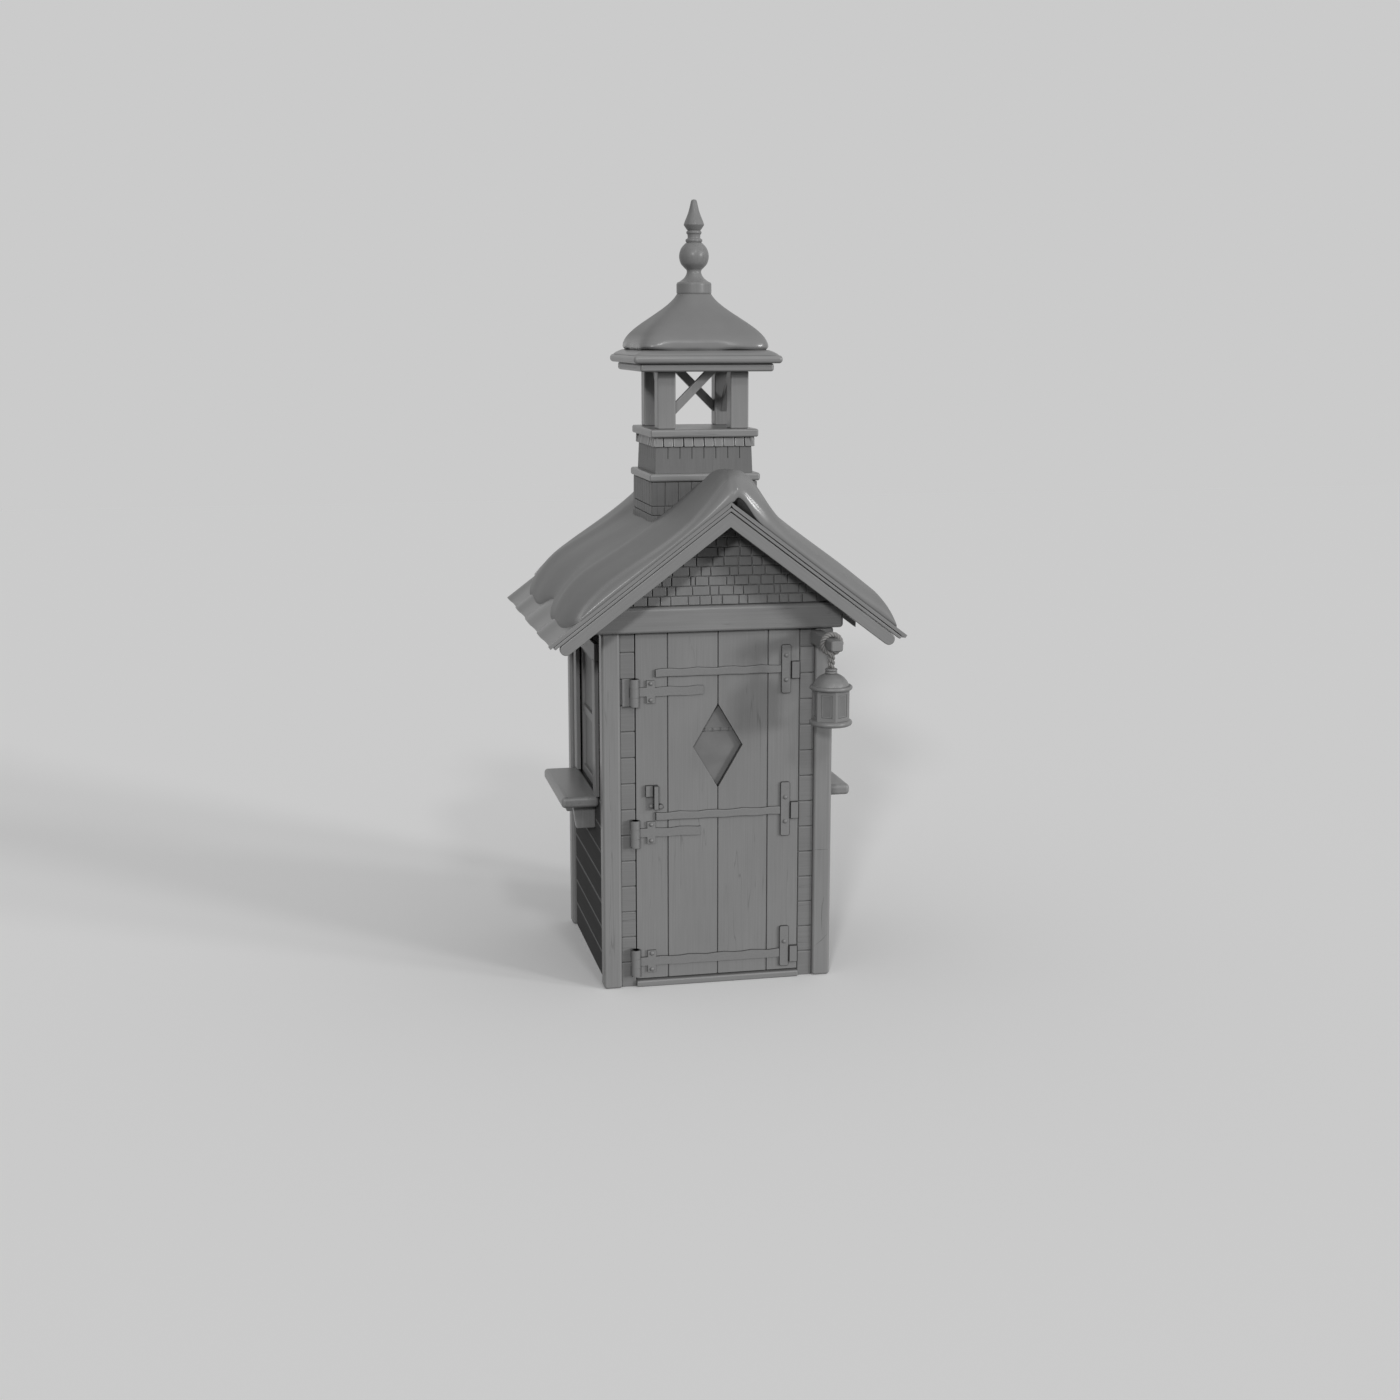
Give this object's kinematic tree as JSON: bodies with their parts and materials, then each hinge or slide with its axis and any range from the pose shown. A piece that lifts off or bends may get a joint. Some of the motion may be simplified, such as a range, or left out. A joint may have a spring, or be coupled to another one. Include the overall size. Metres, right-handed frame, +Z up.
{
  "type": "shed bell tower",
  "caption": "Narrow timber booth with a hinged ledged door, side windows over shelves, a snow-laden gable roof, an open bell cupola with a turned finial and a hanging lantern.",
  "frame": {"origin": "on the ground under the middle of the four corner posts, on the underside of the floor deck", "axes": "+Z up, the door faces -Y, +X to the right seen from in front of the door"},
  "size_m": [1.91, 2.024, 4.2342],
  "materials": {
    "wall_timber": "grey painted siding boards, soft sheen",
    "frame_timber": "grey painted timber with worn round edges",
    "door_timber": "grey painted door boards with upright grain",
    "shingle": "small grey shingles in irregular courses",
    "roof_sheet": "softly waved grey roof covering",
    "snow": "smooth settled snow in soft rolls",
    "frosted_glass": "clouded panes that can't be seen through",
    "finial": "turned and painted, satin",
    "iron": "grey painted wrought iron",
    "lantern_iron": "grey painted sheet metal",
    "rope": "twisted rope"
  },
  "bodies": {
    "shed": {"floor_deck": "wall_timber", "door_sill": "frame_timber", "corner_posts": "frame_timber", "front_wall_left": "wall_timber", "front_wall_right": "wall_timber", "left_wall": "wall_timber", "right_wall": "wall_timber", "back_wall": "wall_timber", "front_header": "frame_timber", "back_header": "frame_timber", "wall_plates": "frame_timber", "front_gable": "shingle", "back_gable": "shingle", "rafters": "frame_timber", "left_roof_sheet": "roof_sheet", "right_roof_sheet": "roof_sheet", "front_barge_boards": "frame_timber", "back_barge_boards": "frame_timber", "left_roof_snow": "snow", "right_roof_snow": "snow", "left_window_frame": "frame_timber", "right_window_frame": "frame_timber", "side_window_panes": "frosted_glass", "left_shelf": "frame_timber", "right_shelf": "frame_timber", "shelf_brackets": "frame_timber", "cupola_lower_tier": "wall_timber", "cupola_lower_band": "frame_timber", "cupola_upper_tier": "wall_timber", "cupola_ledge": "frame_timber", "cupola_posts": "frame_timber", "cupola_braces": "frame_timber", "cupola_plate": "frame_timber", "cupola_roof": "frame_timber", "cupola_snow": "snow", "finial": "finial", "lantern_beam": "frame_timber", "hinge_leaves": "iron"},
    "door": {"door_leaf": "door_timber", "door_pane": "frosted_glass", "hinge_straps": "iron", "door_bars": "iron", "lock_plates": "iron", "door_handle": "iron"},
    "lantern": {"lantern_rope": "rope", "lantern_cap": "lantern_iron", "lantern_cage": "lantern_iron", "lantern_panes": "frosted_glass"}
  },
  "joints": [
    {"name": "door_hinge", "type": "hinge", "parent": "shed", "child": "door", "pos_m": [-0.461, -0.66, 1], "axis": [0, 0, -1], "range_deg": [0, 115]},
    {"name": "lantern_swing", "type": "hinge", "parent": "shed", "child": "lantern", "pos_m": [0.537, -0.96, 1.92076], "axis": [0, 1, 0], "range_deg": [-15, 15]}
  ]
}
